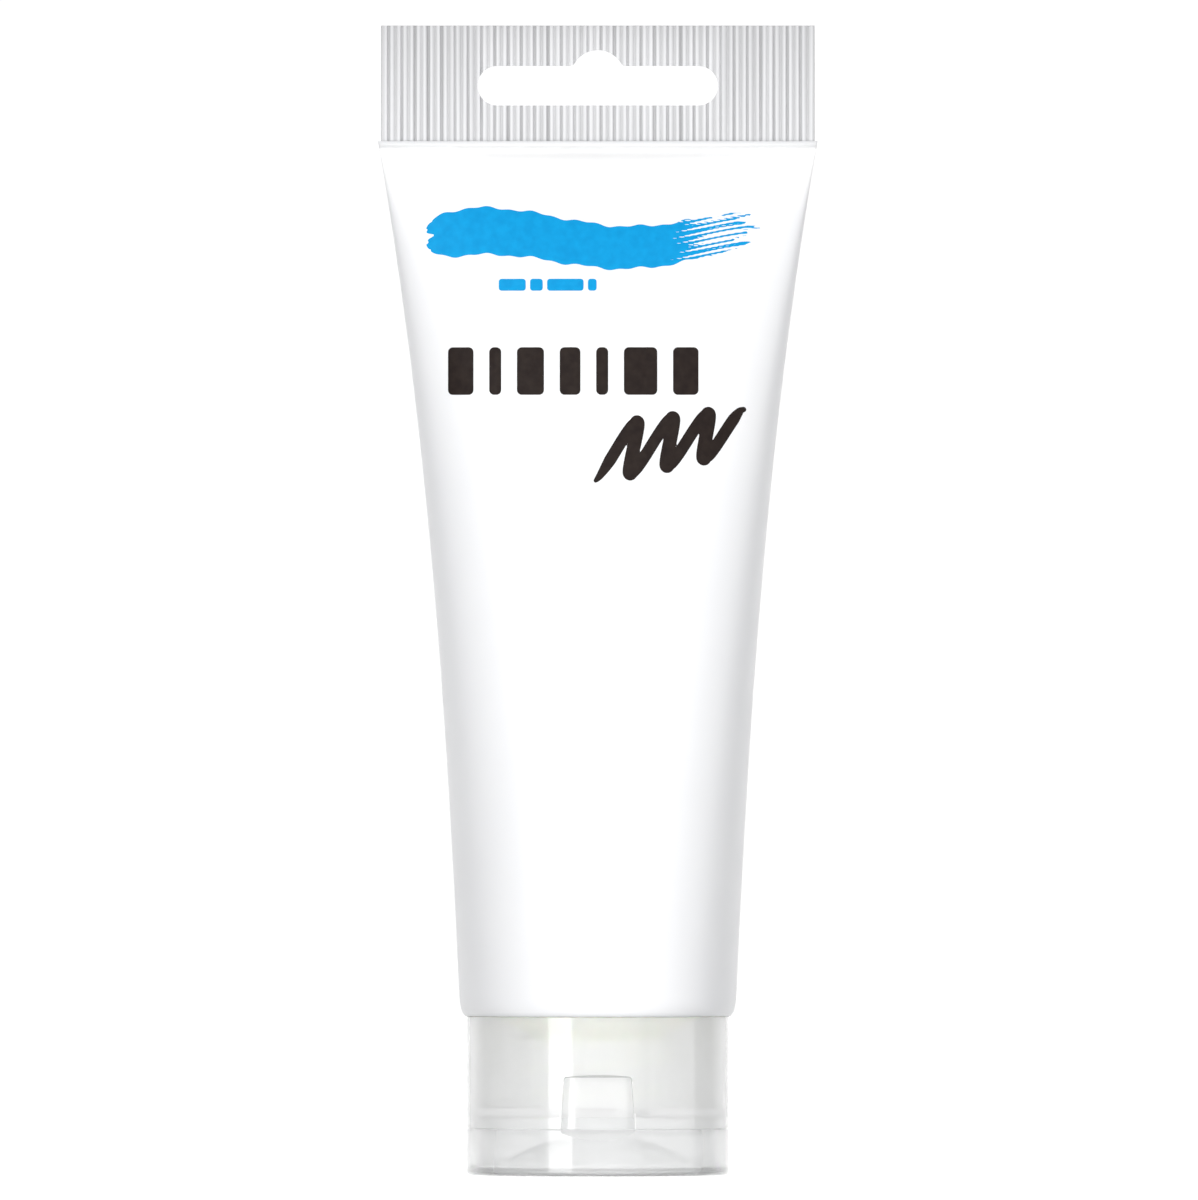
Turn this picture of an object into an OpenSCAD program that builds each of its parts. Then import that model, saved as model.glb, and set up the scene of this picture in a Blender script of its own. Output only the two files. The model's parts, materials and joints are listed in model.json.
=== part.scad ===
// Squeezable paint tube that stands on its clear flip-top cap.
// Millimetres. Z points up from the lid's flat foot to the crimped end, X runs along the crimp
// and the thumb notch faces -Y. The origin is the centre of the foot.

/* [Tube] */
// Outer diameter of the round end of the sleeve
tube_d = 35; // [34:0.5:37]
// Height of the foot of the crimped end above the floor
weld_z = 130.7; // [115:0.1:150]
// Width of the flattened sleeve at the weld
flat_w = 55.5; // [54:0.1:58]
// Thickness of the sleeve's wall
sleeve_wall = 0.5; // [0.4:0.05:0.8]
// Radius of the rolled rim at the foot of the sleeve
rim_r = 1.3; // [1:0.1:1.5]
// Height that the paint reaches inside
fill_z = 112; // [60:1:112]

/* [Crimped end] */
// Width of the crimped end
seal_w = 54.8; // [50:0.1:55]
// Height of the crimped end
seal_h = 14.6; // [13:0.1:18]
// Thickness of the crimped end across its ridges
seal_t = 1.1; // [1:0.1:1.4]
// Distance from one ridge to the next
rib_pitch = 0.84; // [0.8:0.01:1.2]
// Depth of every second groove
deep_groove = 0.24; // [0.1:0.02:0.3]
// Depth of the grooves between
shallow_groove = 0.14; // [0.05:0.01:0.2]
// Width of the hanging slot
slot_w = 30.4; // [28:0.1:32]
// Height of the hanging slot at its ends
slot_h = 5; // [4.6:0.1:6]
// Height of the slot's middle line above the foot of the crimp
slot_rise = 7; // [6:0.1:7.4]
// Radius of the bump in the middle of the slot
bump_r = 3.4; // [3:0.1:3.8]

/* [Cap] */
// Outer diameter of the cap and lid
cap_d = 33.2; // [32:0.1:33.4]
// Height of the top of the cap above the floor
cap_top = 20; // [19.6:0.1:20]
// Height of the seam between the lid and the cap
seam_z = 5.9; // [5.5:0.1:6.2]
// Gap between the lid and the cap
seam_gap = 0.2; // [0.15:0.05:0.3]
// Thickness of the cap's and lid's walls
cap_wall = 1.1; // [0.8:0.1:1.2]
// Height of the underside of the cap's closed end
deck_z = 7.4; // [7.2:0.1:7.6]
// Thickness of the cap's closed end
deck_t = 1.2; // [1:0.1:1.3]
// Radius of the hole that the paint comes out of
outlet_r = 2.1; // [1.9:0.1:2.3]
// Radius of the rounded edge at the lid's foot
foot_round = 0.6; // [0.3:0.1:0.8]
// Radius of the round dish in the end of the lid
dish_r = 12.9; // [11:0.1:13]
// Depth of the dish
dish_depth = 3.8; // [2:0.1:3.8]

/* [Thumb notch] */
// Width of the notch at its top
notch_top_w = 8.4; // [7:0.1:9]
// Width of the notch at the seam
notch_foot_w = 9.3; // [9:0.1:10]
// Height of the notch above the seam
notch_h = 6.55; // [5:0.05:7.5]

/* [Neck and thread] */
// Outer radius of the neck under its thread
neck_r = 8.5; // [8.4:0.05:8.55]
// Inner radius of the neck
neck_bore_r = 6; // [5:0.1:6.5]
// Rise of the thread in one turn
thread_pitch = 3; // [3:0.1:3.2]
// Turns of thread on the neck
neck_turns = 1.5; // [1:0.1:1.6]

/* [Hinge] */
// Distance of the hinge line behind the cap's middle line
hinge_y = 16.9; // [16.85:0.05:17]
// Thickness of the hinge straps
strap_t = 0.3; // [0.25:0.05:0.3]
// Width of each hinge strap
strap_w = 3.2; // [2.5:0.1:3.4]

/* [Hidden] */
$fn = 96;

// Overlap of a cut past the face that it opens, and the gap between pieces that lie loose
over = 1;
loose = 0.05;

natural_plastic = [0.93, 0.94, 0.86];
clear_plastic = [0.86, 0.88, 0.89];

// Sleeve: it is round up to round_z and flattens towards weld_z, with the same distance around
tube_r = tube_d / 2;
sleeve_foot = cap_top + 0.1;
round_z = sleeve_foot + rim_r;
around = 48;
rim_steps = 4;
outer_steps = 20;
inner_steps = 12;
flat_run = 0.8;
inner_top = weld_z - 2 * flat_run;
least_gap = 0.15;
rim_inner_r = tube_r - rim_r;

// Crimped end: plain margin beside the ridges, and how far the slot's bump stands above its ends
seal_margin = 0.4;
bump_rise = 2;

// Washer and foil fill the space between the neck's tip and the cap's closed end
washer_z = deck_z + deck_t + loose;
washer_t = 0.7;
washer_r = 8.4;
washer_hole_r = outlet_r + 0.5;
foil_t = 0.1;
foil_r = neck_r - 0.6;

// Shoulder and neck: a flat ledge under the rim, then a cone down to the neck
ledge_in = 0.3;
ledge_r = cap_d / 2 - cap_wall - ledge_in;
shoulder_t = 1.2;
cone_drop = 2.7;
neck_root_z = sleeve_foot - cone_drop;
neck_tip = washer_z + washer_t + loose + foil_t;
tip_t = 1;
tip_hole_r = 3;

// Paint: gaps to the sleeve, to the neck's bore and to the floors that it lies on
paint_gap = 0.25;
paint_bore_gap = 0.2;
paint_floor_gap = 0.15;
paint_pinch = 1.4;
paint_steps = 12;

// Threads: a neck thread and a cap thread half a pitch apart, each a trapezoid in section
thread_depth = 1.05;
thread_foot_w = 2;
thread_crest_w = 0.9;
thread_sink = 0.12;
turn_steps = 30;
thread_rise = 1.9;
neck_thread_z = neck_tip + thread_rise;
cap_thread_turns = 1.8;
cap_thread_z = neck_thread_z - thread_pitch / 2;
collar_room = 1.25;
collar_r = neck_r + collar_room;
collar_wall = 1.2;
collar_gap = 0.4;
collar_top = neck_root_z - collar_gap;

// Cap and lid
cap_r = cap_d / 2;
cap_foot = seam_z + seam_gap / 2;
lid_top = seam_z - seam_gap / 2;
cap_in_r = cap_r - cap_wall;
floor_t = 1;
dish_skin = 0.75;
dish_ball_r = (dish_r * dish_r + dish_depth * dish_depth) / (2 * dish_depth);
dish_ball_z = dish_depth - dish_ball_r;
spout_wall = 1.5;
spout_reach = 0.5;
spout_foot = seam_z - spout_reach;
plug_fit = 0.15;
plug_r = outlet_r - plug_fit;
plug_short = 0.2;
plug_tip = deck_z - plug_short;
ring_wall = 0.85;
ring_in_r = outlet_r + spout_wall + plug_fit;
ring_rise = 0.6;
ring_top = seam_z + ring_rise;
moulded_sink = 0.1;

// Catch ring: it stands inside the lid's wall and carries the bead that the lid clicks over
catch_gap = 0.6;
catch_out_r = cap_in_r - catch_gap;
catch_wall = 0.8;
catch_reach = 0.9;
catch_foot = seam_z - catch_reach;
bead_out = 0.42;
bead_rise = 0.55;
bead_z = catch_foot + bead_rise;

// Thumb notch: its back wall is the catch ring's wall, carried up
notch_wall = 0.8;
lip_drop = 1.3;
lip_in = 0.95;

// Hinge pads, straps and the bowed spring between them
pad_w = 13.2;
pad_y = hinge_y - strap_t / 2;
pad_h = 2.6;
pad_root = 2;
strap_x = 4.7;
strap_reach = 0.9;
spring_w = 4;
spring_t = 0.35;
spring_out = 0.65;
spring_gap = 0.2;

// How far the sleeve has flattened at height z, from 0 where it is round to 1 at the weld
function flattening(z) =
    let (t = min(max((z - round_z) / (weld_z - flat_run - round_z), 0), 1))
    0.5 * t + 0.5 * pow(t, 2.6);

// Half the sleeve's width at height z
function half_width(z) = tube_r + (flat_w / 2 - tube_r) * flattening(z);

// Half the sleeve's depth, from Ramanujan's ellipse perimeter held at the round end's own
function half_depth(z) =
    let (a = half_width(z))
    let (p = 6 * tube_d + 4 * a)
    let (q = p * p - 24 * (tube_d * tube_d + 4 * a * a))
    max((p + sqrt(max(q, 0))) / 12 - a, seal_t / 2);

// Heights from z0 to z1 that crowd towards z1, where the sleeve flattens fastest
function heights(z0, z1, n) =
    [for (i = [0:n]) z0 + (z1 - z0) * (1 - pow(1 - i / n, 1.7))];

// One ring of the sleeve: an ellipse with half axes a and b at height z
function ring(a, b, z) =
    [for (i = [0:around - 1]) [a * cos(360 * i / around), b * sin(360 * i / around), z]];

// Faces of a stack of n rings, closed at both ends
function ring_faces(n) = concat(
    [[for (i = [0:around - 1]) i]],
    [for (k = [0:n - 2], i = [0:around - 1])
        let (j = (i + 1) % around)
        [k * around + i, (k + 1) * around + i, (k + 1) * around + j]],
    [for (k = [0:n - 2], i = [0:around - 1])
        let (j = (i + 1) % around)
        [k * around + i, (k + 1) * around + j, k * around + j]],
    [[for (i = [around - 1:-1:0]) (n - 1) * around + i]]
);

// A closed solid through rings, each given as [half width, half depth, height]
module loft(rings) {
    points = [for (r = rings, p = ring(r[0], r[1], r[2])) p];
    polyhedron(points = points, faces = ring_faces(len(rings)), convexity = 6);
}

// Sleeve, from the inside of the weld down, round the rolled rim and up the outside
module tube_sleeve() {
    inner = heights(round_z, inner_top, inner_steps);
    outer = heights(round_z, weld_z, outer_steps);
    rim_in = rim_r - sleeve_wall;
    color("white")
        loft(concat(
            [for (i = [inner_steps:-1:0])
                let (z = inner[i])
                [half_width(z) - sleeve_wall, max(half_depth(z) - sleeve_wall, least_gap), z]],
            [for (i = [1:rim_steps])
                let (s = rim_in * sin(90 * i / rim_steps), c = rim_in * cos(90 * i / rim_steps))
                [rim_inner_r + c, rim_inner_r + c, round_z - s]],
            [for (i = [rim_steps:-1:1])
                let (s = rim_r * sin(90 * i / rim_steps), c = rim_r * cos(90 * i / rim_steps))
                [rim_inner_r + c, rim_inner_r + c, round_z - s]],
            [for (z = outer) [half_width(z), half_depth(z), z]]
        ));
}

// Outline of the hanging slot, with rounded ends and a bump for the peg
module slot_outline() {
    end_r = slot_h / 2;
    square([slot_w - slot_h, slot_h], center = true);
    for (side = [-1, 1])
        translate([side * (slot_w / 2 - end_r), 0])
            circle(r = end_r);
    translate([0, end_r + bump_rise - bump_r])
        circle(r = bump_r);
}

// Crimped end: upright ridges on both faces, every second groove deeper
module end_seal() {
    ridges = 2 * floor((seal_w / 2 - seal_margin) / rib_pitch);
    start = -ridges * rib_pitch / 2;
    groove = [0, deep_groove, 0, shallow_groove];
    half = seal_t / 2;
    face = [for (i = [0:2 * ridges]) [start + i * rib_pitch / 2, half - groove[i % 4]]];
    front = [for (p = face) [p[0], -p[1]]];
    back = [for (i = [len(face) - 1:-1:0]) face[i]];
    corner = [seal_w / 2, half - shallow_groove];
    color("gainsboro")
        difference() {
            translate([0, 0, weld_z])
                linear_extrude(height = seal_h)
                    polygon(concat(
                        [[-corner[0], corner[1]], [-corner[0], -corner[1]]],
                        front,
                        [[corner[0], -corner[1]], corner],
                        back
                    ));
            translate([0, seal_t, weld_z + slot_rise])
                rotate([90, 0, 0])
                    linear_extrude(height = 2 * seal_t)
                        slot_outline();
        }
}

// Moulded shoulder with the neck that the paint leaves through
module tube_shoulder() {
    edge_r = rim_inner_r - loose;
    seat_r = tube_r - sleeve_wall - loose;
    fold_z = sleeve_foot + sleeve_wall + loose;
    rim_top_z = round_z + shoulder_t;
    color(natural_plastic)
        difference() {
            rotate_extrude()
                polygon([
                    [0, neck_tip],
                    [neck_r, neck_tip],
                    [neck_r, neck_root_z],
                    [ledge_r, sleeve_foot],
                    [edge_r, sleeve_foot],
                    [edge_r, fold_z],
                    [seat_r - rim_r + sleeve_wall, fold_z],
                    [seat_r, round_z],
                    [seat_r, rim_top_z],
                    [0, rim_top_z]
                ]);
            translate([0, 0, neck_tip + tip_t])
                cylinder(r = neck_bore_r, h = round_z);
            translate([0, 0, neck_tip - over])
                cylinder(r = tip_hole_r, h = tip_t + 2 * over);
            rotate_extrude()
                polygon([
                    [0, neck_root_z + shoulder_t],
                    [neck_bore_r, neck_root_z + shoulder_t],
                    [seat_r - shoulder_t, rim_top_z],
                    [0, rim_top_z]
                ]);
            translate([0, 0, rim_top_z - loose])
                cylinder(r = seat_r - shoulder_t, h = over);
        }
}

// A right-hand thread that climbs from z0. foot_r is where it joins its wall and dir points it
// out (1) or in (-1). It fades out over a twelfth of a turn at both ends.
module thread(foot_r, dir, z0, turns) {
    n = ceil(turns * turn_steps);
    fade = turn_steps / 12;
    sections = [for (i = [0:n])
        let (grown = max(min(min(i, n - i) / fade, 1), 0.1))
        let (angle = 360 * turns * i / n, z = z0 + thread_pitch * turns * i / n)
        let (crest_r = foot_r + dir * (thread_sink + thread_depth) * grown)
        [for (c = [[foot_r, -thread_foot_w], [crest_r, -thread_crest_w],
                   [crest_r, thread_crest_w], [foot_r, thread_foot_w]])
            [c[0] * cos(angle), c[0] * sin(angle), z + c[1] / 2]]
    ];
    turned = dir > 0 ? [0, 1, 2, 3] : [3, 2, 1, 0];
    points = [for (s = sections, k = turned) s[k]];
    sides = [for (i = [0:n - 1], k = [0:3])
        let (m = (k + 1) % 4)
        [4 * i + k, 4 * i + m, 4 * (i + 1) + m, 4 * (i + 1) + k]];
    split = [for (f = sides, half = [0, 1])
        half == 0 ? [f[0], f[1], f[2]] : [f[0], f[2], f[3]]];
    polyhedron(
        points = points,
        faces = concat([[3, 2, 1, 0]], split, [[4 * n, 4 * n + 1, 4 * n + 2, 4 * n + 3]]),
        convexity = 8
    );
}

// Thread on the outside of the neck
module neck_thread() {
    color(natural_plastic)
        thread(neck_r - thread_sink, 1, neck_thread_z, neck_turns);
}

// Foil that closes the neck's mouth until first use
module foil_seal() {
    color("silver")
        translate([0, 0, neck_tip - foil_t])
            cylinder(r = foil_r, h = foil_t);
}

// Paint inside the sleeve, shoulder and neck, with air above it
module paint_fill() {
    gap = sleeve_wall + paint_gap;
    low = neck_tip + tip_t + paint_floor_gap;
    cone_z = neck_root_z + shoulder_t + gap;
    floor_z = round_z + shoulder_t + paint_floor_gap;
    bore = neck_bore_r - paint_bore_gap;
    color("whitesmoke")
        loft(concat(
            [[bore, bore, low], [bore, bore, cone_z]],
            [for (i = [0:paint_steps])
                let (z = floor_z + (fill_z - floor_z) * i / paint_steps)
                let (pinch = i == 0 ? paint_pinch : 0)
                [half_width(z) - gap - pinch, half_depth(z) - gap - pinch, z]]
        ));
}

// Soft washer between the foil and the cap's closed end
module sealing_washer() {
    color("aliceblue")
        translate([0, 0, washer_z])
            difference() {
                cylinder(r = washer_r, h = washer_t);
                translate([0, 0, -over])
                    cylinder(r = washer_hole_r, h = washer_t + 2 * over);
            }
}

// Block with the notch's flared outline, grown by a margin on its sides and top
module notch_block(margin) {
    low = cap_foot - over;
    high = cap_foot + notch_h;
    flare = (notch_foot_w - notch_top_w) / 2 * over / notch_h;
    translate([0, -catch_out_r / 2, 0])
        rotate([90, 0, 0])
            linear_extrude(height = cap_r)
                polygon([
                    [-notch_foot_w / 2 - flare - margin, low],
                    [notch_foot_w / 2 + flare + margin, low],
                    [notch_top_w / 2 + margin, high + margin],
                    [-notch_top_w / 2 - margin, high + margin]
                ]);
}

// Flat pad for the hinge on the back of the cap or lid, between two heights
module hinge_pad(low, high) {
    translate([-pad_w / 2, cap_in_r - pad_root, low])
        cube([pad_w, pad_y - cap_in_r + pad_root, high - low]);
}

// Cap: outer wall, closed end with the outlet, and a pocket for the thumb
module cap_shell() {
    color(clear_plastic)
        difference() {
            union() {
                difference() {
                    translate([0, 0, cap_foot])
                        cylinder(r = cap_r, h = cap_top - cap_foot);
                    translate([0, 0, cap_foot - over])
                        cylinder(r = cap_in_r, h = cap_top + over);
                }
                translate([0, 0, deck_z])
                    cylinder(r = cap_r - cap_wall / 2, h = deck_t);
                intersection() {
                    difference() {
                        translate([0, 0, cap_foot])
                            cylinder(r = cap_r - cap_wall / 2, h = cap_top - cap_foot);
                        translate([0, 0, deck_z])
                            cylinder(r = catch_out_r - catch_wall, h = cap_top);
                        translate([0, 0, cap_foot - over])
                            cylinder(r = catch_out_r, h = deck_z - cap_foot + over);
                    }
                    notch_block(notch_wall);
                }
                difference() {
                    hinge_pad(cap_foot, cap_foot + pad_h);
                    translate([0, 0, cap_foot - over])
                        cylinder(r = cap_in_r - loose, h = deck_z - cap_foot + over);
                }
            }
            difference() {
                notch_block(0);
                cylinder(r = catch_out_r, h = cap_top);
            }
            translate([0, 0, deck_z - over])
                cylinder(r = outlet_r, h = deck_t + 2 * over);
        }
}

// Inner collar that screws onto the neck
module threaded_collar() {
    low = deck_z + deck_t;
    color(clear_plastic)
        translate([0, 0, low])
            difference() {
                cylinder(r = collar_r + collar_wall, h = collar_top - low);
                translate([0, 0, -over])
                    cylinder(r = collar_r, h = collar_top);
            }
}

// Thread on the inside of the collar
module cap_thread() {
    color(clear_plastic)
        thread(collar_r + thread_sink, -1, cap_thread_z, cap_thread_turns);
}

// Short spout around the outlet, on the outside of the closed end
module outlet_spout() {
    color(clear_plastic)
        translate([0, 0, spout_foot])
            difference() {
                cylinder(r = outlet_r + spout_wall, h = deck_z - spout_foot);
                translate([0, 0, -over])
                    cylinder(r = outlet_r, h = deck_z);
            }
}

// Ring with a bead that holds the lid shut
module catch_ring() {
    inner = catch_out_r - catch_wall;
    color(clear_plastic)
        rotate_extrude()
            polygon([
                [inner, catch_foot],
                [catch_out_r, catch_foot],
                [catch_out_r, bead_z - bead_out],
                [catch_out_r + bead_out, bead_z],
                [catch_out_r, bead_z + bead_out],
                [catch_out_r, deck_z],
                [inner, deck_z]
            ]);
}

// Strap of the living hinge, bridging the seam at x
module hinge_strap(x) {
    color(clear_plastic)
        translate([x - strap_w / 2, pad_y, seam_z - strap_reach])
            cube([strap_w, strap_t, 2 * strap_reach]);
}

module left_hinge_strap() {
    hinge_strap(-strap_x);
}

module right_hinge_strap() {
    hinge_strap(strap_x);
}

// Bowed leaf between the straps, which snaps the lid open or shut
module snap_spring() {
    foot = 0.7;
    rise = 2 * foot;
    reach = pad_h - spring_gap;
    color(clear_plastic)
        translate([-spring_w / 2, pad_y, seam_z])
            rotate([90, 0, 90])
                linear_extrude(height = spring_w)
                    polygon([
                        [0, reach],
                        [0, reach - foot],
                        [spring_out - spring_t, rise - foot],
                        [spring_out - spring_t, foot - rise],
                        [0, foot - reach],
                        [0, -reach],
                        [spring_out, -rise],
                        [spring_out, rise]
                    ]);
}

// Lid: wall with a rounded foot, dished end, and a bevel under the thumb notch
module flip_lid() {
    color(clear_plastic)
        difference() {
            union() {
                difference() {
                    union() {
                        translate([0, 0, foot_round])
                            cylinder(r = cap_r, h = lid_top - foot_round);
                        cylinder(r = cap_r - foot_round, h = lid_top);
                        rotate_extrude()
                            translate([cap_r - foot_round, foot_round])
                                circle(r = foot_round);
                    }
                    difference() {
                        translate([0, 0, floor_t])
                            cylinder(r = cap_in_r, h = lid_top);
                        translate([0, 0, dish_ball_z])
                            sphere(r = dish_ball_r + dish_skin);
                    }
                }
                difference() {
                    hinge_pad(lid_top - pad_h, lid_top);
                    translate([0, 0, floor_t])
                        cylinder(r = cap_in_r, h = lid_top);
                }
            }
            translate([0, 0, dish_ball_z])
                sphere(r = dish_ball_r);
            lip_bevel();
        }
}

// Bevel on the front of the lid's top edge, for the thumbnail
module lip_bevel() {
    translate([-notch_foot_w / 2, -cap_r, lid_top])
        rotate([90, 0, 90])
            linear_extrude(height = notch_foot_w)
                polygon([
                    [-over, -lip_drop - over * lip_drop / lip_in],
                    [lip_in, 0],
                    [lip_in + over * lip_in / lip_drop, over],
                    [-over, over]
                ]);
}

// Pin on the lid that closes the outlet
module orifice_plug() {
    low = dish_ball_z + dish_ball_r + dish_skin - moulded_sink;
    nose = 0.5;
    color(clear_plastic) {
        translate([0, 0, low])
            cylinder(r = plug_r, h = plug_tip - nose - low);
        translate([0, 0, plug_tip - nose])
            cylinder(r1 = plug_r, r2 = plug_r - nose, h = nose);
    }
}

// Ring on the lid that closes around the spout
module plug_seal_ring() {
    inner_ball_r = dish_ball_r + dish_skin;
    dome_z = dish_ball_z + sqrt(pow(inner_ball_r, 2) - pow(ring_in_r + ring_wall, 2));
    low = dome_z - moulded_sink;
    color(clear_plastic)
        translate([0, 0, low])
            difference() {
                cylinder(r = ring_in_r + ring_wall, h = ring_top - low);
                translate([0, 0, -over])
                    cylinder(r = ring_in_r, h = ring_top);
            }
}

tube_sleeve();
end_seal();
tube_shoulder();
neck_thread();
foil_seal();
paint_fill();
sealing_washer();
cap_shell();
threaded_collar();
cap_thread();
outlet_spout();
catch_ring();
left_hinge_strap();
right_hinge_strap();
snap_spring();
flip_lid();
orifice_plug();
plug_seal_ring();
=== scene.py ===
"""Looks of the paint tube: printed sleeve, ribbed crimp, shoulder, clear cap, flip lid and living hinge."""

import json
import math

import bmesh
import bpy
import numpy as np
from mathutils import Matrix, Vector


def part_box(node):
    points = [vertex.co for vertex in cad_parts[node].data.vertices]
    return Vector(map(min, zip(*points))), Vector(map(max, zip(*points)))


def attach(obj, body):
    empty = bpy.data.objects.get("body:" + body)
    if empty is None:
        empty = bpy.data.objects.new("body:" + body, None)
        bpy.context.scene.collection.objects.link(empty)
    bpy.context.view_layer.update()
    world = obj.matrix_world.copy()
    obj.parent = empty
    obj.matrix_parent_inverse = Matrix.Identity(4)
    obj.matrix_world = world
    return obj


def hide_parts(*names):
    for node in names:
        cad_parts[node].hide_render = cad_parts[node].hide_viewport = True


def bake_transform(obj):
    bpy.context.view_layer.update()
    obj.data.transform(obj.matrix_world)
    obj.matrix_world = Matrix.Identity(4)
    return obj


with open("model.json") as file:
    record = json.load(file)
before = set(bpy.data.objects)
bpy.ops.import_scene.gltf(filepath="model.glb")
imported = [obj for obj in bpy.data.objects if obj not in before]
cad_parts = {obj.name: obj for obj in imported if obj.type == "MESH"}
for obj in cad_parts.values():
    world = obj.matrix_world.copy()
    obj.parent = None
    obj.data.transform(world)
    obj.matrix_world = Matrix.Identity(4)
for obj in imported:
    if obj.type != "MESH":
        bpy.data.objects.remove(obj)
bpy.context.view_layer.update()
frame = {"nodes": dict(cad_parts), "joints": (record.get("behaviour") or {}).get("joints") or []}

# ---------------------------------------------------------------- sizes, in metres

MM = 0.001


def width(node):
    """Width of a CAD node along X."""
    low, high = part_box(node)
    return high.x - low.x


def bottom(node):
    """Height of a CAD node's lowest point."""
    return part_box(node)[0].z


def top(node):
    """Height of a CAD node's highest point."""
    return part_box(node)[1].z


# Sleeve and crimp
TUBE_R = (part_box("tube_sleeve")[1].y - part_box("tube_sleeve")[0].y) / 2
FLAT_W = width("tube_sleeve")
SLEEVE_FOOT = bottom("tube_sleeve")
WELD_Z = bottom("end_seal")
SEAL_TOP = top("end_seal")
SEAL_W = width("end_seal")
SEAL_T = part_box("end_seal")[1].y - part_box("end_seal")[0].y
SLEEVE_WALL = 0.5 * MM
RIM_IN, RIM_RISE = 0.9 * MM, 2.6 * MM
ROUND_Z = SLEEVE_FOOT + RIM_RISE
RIB_PITCH = 0.84 * MM
SLOT_W, SLOT_H, SLOT_Z, BUMP_R = 30.4 * MM, 5 * MM, WELD_Z + 7 * MM, 3.4 * MM
BUMP_RISE = 2 * MM
SEAL_OVERLAP = 0.15 * MM
SLAB_RISE, PILLOW_FOOT, PILLOW_RISE = 3 * MM, 12 * MM, 40 * MM
# Height of the painted shadow band just under the weld.
WELD_SHADOW_BAND = 1.7 * MM
FLANK_SLOPE = 0.43

# Cap and lid
CAP_R = width("flip_lid") / 2
SHUT = 0.07 * MM
CAP_FOOT, CAP_TOP = bottom("cap_shell") - SHUT, top("cap_shell") + SHUT
LID_TOP = top("flip_lid") + SHUT
SEAM_Z = (CAP_FOOT + LID_TOP) / 2
CAP_WALL = 1.1 * MM
CAP_IN_R = CAP_R - CAP_WALL
DECK_Z, DECK_TOP = top("outlet_spout"), bottom("threaded_collar")
CATCH_OUT_R = CAP_IN_R - 0.6 * MM
CATCH_WALL = 0.8 * MM
OUTLET_R = 2.1 * MM
DISH_R, DISH_DEPTH, DISH_SKIN, FLOOR_T = 12.9 * MM, 3.8 * MM, 0.75 * MM, 1 * MM
NOTCH_TOP_W, NOTCH_FOOT_W, NOTCH_H, NOTCH_WALL = 8.4 * MM, 9.3 * MM, 6.55 * MM, 0.8 * MM
CUT_WELD = 0.003 * MM
MOUTH_FLARE, MOUTH_DEPTH = 0.36 * MM, 0.75 * MM
LIP_DROP, LIP_IN = 1.3 * MM, 0.95 * MM

# Hinge
flip = next(j for j in frame["joints"] if j["name"] == "lid_flip")
HINGE_Y = flip["pos_m"][1]
STRAP_T = 0.3 * MM
PAD_Y = HINGE_Y - STRAP_T / 2
PAD_W, PAD_H = 13.2 * MM, 2.6 * MM

# Thread
PITCH = 3 * MM
THREAD_DEPTH = 1.05 * MM
THREAD_SINK = 0.12 * MM


def smoothstep(t):
    """Eases from 0 to 1 as t goes from 0 to 1."""
    t = np.clip(t, 0, 1)
    return t * t * (3 - 2 * t)


# ---------------------------------------------------------------- sleeve surface


def flattening(z):
    """0 where the sleeve is round, 1 at the weld."""
    t = np.clip((z - ROUND_Z) / (WELD_Z - SEAL_OVERLAP - ROUND_Z), 0, 1)
    return 0.5 * t + 0.5 * t**2.6


def half_width(z):
    """Half of the sleeve's width at z."""
    return TUBE_R + (FLAT_W / 2 - TUBE_R) * flattening(z)


def half_depth(z):
    """From Ramanujan's ellipse perimeter, held at the round end's own, with straight flanks at the crimp."""
    a = half_width(z)
    d = 2 * TUBE_R
    p = 6 * d + 4 * a
    q = np.maximum(p * p - 24 * (d * d + 4 * a * a), 0)
    full = (p + np.sqrt(q)) / 12 - a
    below = np.maximum(WELD_Z - z, 0)
    flank = SEAL_T / 2 + FLANK_SLOPE * below
    soft = 0.035 * np.maximum(below, 0.5 * MM)
    return -soft * np.logaddexp(-full / soft, -flank / soft)


def crease(z):
    """Exponent of the cross-section: 1 is an ellipse, a little less is a pillow and near 0 is a slab."""
    pillow = smoothstep((z - ROUND_Z - PILLOW_FOOT) / PILLOW_RISE)
    slab = smoothstep((z - WELD_Z + SLAB_RISE) / SLAB_RISE)
    return 1 - 0.1 * pillow * (1 - slab) - 0.93 * slab


def front_depth(x, z):
    """How far the sleeve's front face is from the middle plane at (x, z)."""
    inside = np.clip(1 - (x / half_width(z)) ** 2, 0, 1)
    return half_depth(z) * inside ** (crease(z) / 2)


def on_front(x, z, proud):
    """Points on the sleeve's front face, raised by proud along its normal."""
    step = 0.05 * MM
    y = front_depth(x, z)
    slope_x = (front_depth(x + step, z) - front_depth(x - step, z)) / (2 * step)
    slope_z = (front_depth(x, z + step) - front_depth(x, z - step)) / (2 * step)
    size = np.sqrt(1 + slope_x**2 + slope_z**2)
    return np.stack([x - slope_x * proud / size, -y - proud / size, z - slope_z * proud / size], -1)


# ---------------------------------------------------------------- mesh helpers


def bands(count, n):
    """Faces that join count rings of n vertices each."""
    return [
        (k * n + i, k * n + (i + 1) % n, (k + 1) * n + (i + 1) % n, (k + 1) * n + i)
        for k in range(count - 1)
        for i in range(n)
    ]


def piece(name, verts, faces):
    """A new object from vertices and faces."""
    mesh = bpy.data.meshes.new(name)
    mesh.from_pydata([tuple(v) for v in verts], [], [tuple(f) for f in faces])
    mesh.update()
    obj = bpy.data.objects.new(name, mesh)
    bpy.context.scene.collection.objects.link(obj)
    return obj


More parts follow.
